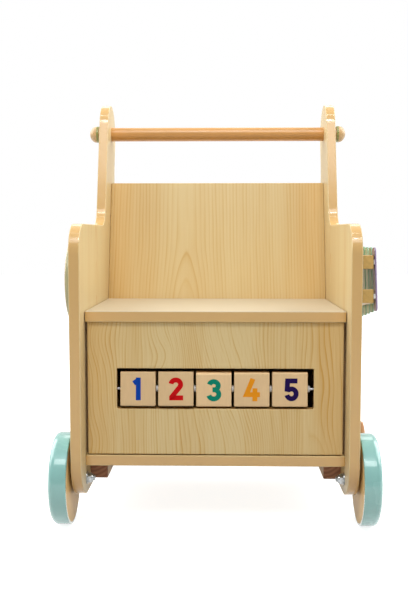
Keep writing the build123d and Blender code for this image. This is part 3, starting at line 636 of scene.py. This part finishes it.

# --- Turning disc -----------------------------------------------------------------------------
# A wooden disc painted sage green, with a thin tan band along its outer face's edge as a
# painted highlight, turning on a pin with a wooden cap.
SAGE = (0.400, 0.390, 0.230)
HIGHLIGHT_DEPTH, PAINT_DEPTH = 0.0006, 0.0012   # a painted tan highlight up to the first from the outer face, then sage paint
disc_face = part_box("activity_disc")[0].x
disc_paint, place, shader = material("sage_paint", **{"Specular IOR Level": 0.45,
                                                      "Coat Weight": 0.2, "Coat Roughness": 0.2})
cloud = place.noise(60.0, detail=3.0)
skin = place.noise(900.0, detail=2.0)
# Painted highlight: a thin tan band along the outer face's edge.
edge_highlight = 1.0 - place.along(X).step(disc_face + HIGHLIGHT_DEPTH, disc_face + PAINT_DEPTH)
painted = cloud.mix(shade(SAGE, 0.92), shade(SAGE, 1.08))
highlight_tan = skin.mix(shade(PALE_DOWEL, 0.9), shade(PALE_DOWEL, 1.1))
feed(shader, Base_Color=edge_highlight.mix(painted, highlight_tan), Roughness=cloud * 0.10 + 0.32,
     Normal=skin.bump(0.00006, 0.4))
dress(disc_paint, "activity_disc")
dress(dowel_finish("disc_pin_wood", X, PALE_DOWEL), "disc_pin", "disc_cap")

# --- Floor, light and camera ------------------------------------------------------------------
# A pale seamless floor that looks white except in the walker's shadow, under soft boxes from
# the front, the sides, above and behind. The camera stands in front, a little to the right.
FLOOR_REACH = 6.0
FLOOR_GREY = 0.58
GLOW_NEAR, GLOW_RISE = 0.88, 0.12     # the floor's glow under the walker, and its rise outside
GLOW_START, GLOW_END = 0.3, 1.1       # distances between which it rises
AMBIENT = 0.05


def seen_rays(tree):
    """1 for rays that look at the background, 0 for the light that falls on things."""
    kinds = tree.nodes.new("ShaderNodeLightPath").outputs
    seen = Wire(tree, kinds["Is Camera Ray"])
    for kind in ("Is Glossy Ray", "Is Transmission Ray"):
        seen = seen.maths("MAXIMUM", Wire(tree, kinds[kind]))
    return seen


corners = [(-FLOOR_REACH, -FLOOR_REACH, 0), (FLOOR_REACH, -FLOOR_REACH, 0),
           (FLOOR_REACH, FLOOR_REACH, 0), (-FLOOR_REACH, FLOOR_REACH, 0)]
floor = mesh_piece("studio_floor", corners, [(0, 1, 2, 3)])
floor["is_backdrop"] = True
floor_paint, place, shader = material("pale_floor", Roughness=0.9,
                                      **{"Base Color": (FLOOR_GREY,) * 3 + (1.0,),
                                         "Specular IOR Level": 0.0})
tree = floor_paint.node_tree
rise = place.length().step(GLOW_START, GLOW_END)
glow = place.node("ShaderNodeEmission", None, {
    "Color": (1.0, 1.0, 1.0, 1.0), "Strength": seen_rays(tree) * (GLOW_NEAR + GLOW_RISE * rise)})
both = tree.nodes.new("ShaderNodeAddShader")
tree.links.new(shader.outputs[0], both.inputs[0])
tree.links.new(glow.socket, both.inputs[1])
tree.links.new(both.outputs[0], tree.nodes["Material Output"].inputs["Surface"])
dress(floor_paint, floor)

world = bpy.data.worlds.new("studio")
world.use_nodes = True
bpy.context.scene.world = world
sky = world.node_tree
background = sky.nodes["Background"]
brightness = seen_rays(sky) * (1.0 - AMBIENT) + AMBIENT
sky.links.new(brightness.socket, background.inputs["Strength"])
background.inputs["Color"].default_value = (1.0, 1.0, 1.0, 1.0)


LAMP_DISTANCE = 2.2
WALKER_MIDDLE = (0.0, 0.0, 0.25)


def lamp(name, azimuth, height, size, power):
    """A soft box that faces the walker's middle; its size is its width and height.

    It stands at an azimuth in degrees from the front towards +X, and at an elevation.
    """
    data = bpy.data.lights.new(name, "AREA")
    data.shape, data.energy = "RECTANGLE", power
    data.size, data.size_y = size
    made = bpy.data.objects.new(name, data)
    around, up = math.radians(azimuth), math.radians(height)
    spot = (LAMP_DISTANCE * math.cos(up) * math.sin(around),
            -LAMP_DISTANCE * math.cos(up) * math.cos(around),
            WALKER_MIDDLE[2] + LAMP_DISTANCE * math.sin(up))
    made.location = spot
    aim = np.array(WALKER_MIDDLE) - np.array(spot)
    turn = math.atan2(aim[1], aim[0]) - math.pi / 2
    tip = math.atan2(aim[2], math.hypot(aim[0], aim[1])) + math.pi / 2
    made.rotation_euler = (tip, 0.0, turn)
    bpy.context.scene.collection.objects.link(made)


for name, azimuth, height, size, power in (
    ("key_lamp", 0.0, 57.5, (0.90, 0.07), 19.0),
    ("front_box", 0.0, 48.0, (1.2, 0.55), 12.0),
    ("left_box", -105.0, 38.0, (2.2, 2.2), 60.0),
    ("right_box", 105.0, 38.0, (2.2, 2.2), 60.0),
    ("top_box", 0.0, 80.0, (0.90, 0.07), 5.0),
    ("rear_box", 180.0, 43.0, (1.2, 0.6), 5.0),
):
    lamp(name, azimuth, height, size, power)

CAMERA_LENS, SENSOR = 51.77, 36.0
CAMERA_PLACE = (0.00975, -1.09585, 0.32635)
CAMERA_DOWN, CAMERA_TURN = 0.0808, 0.0228
scene = bpy.context.scene
scene.view_settings.view_transform = "Standard"
camera_data = bpy.data.cameras.new("camera")
camera_data.lens, camera_data.sensor_width = CAMERA_LENS, SENSOR
camera_data.clip_start, camera_data.clip_end = 0.05, 50.0
camera = bpy.data.objects.new("camera", camera_data)
camera.location = CAMERA_PLACE
camera.rotation_euler = (math.pi / 2 - CAMERA_DOWN, 0.0, CAMERA_TURN)
scene.collection.objects.link(camera)
scene.camera = camera

low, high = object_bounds()
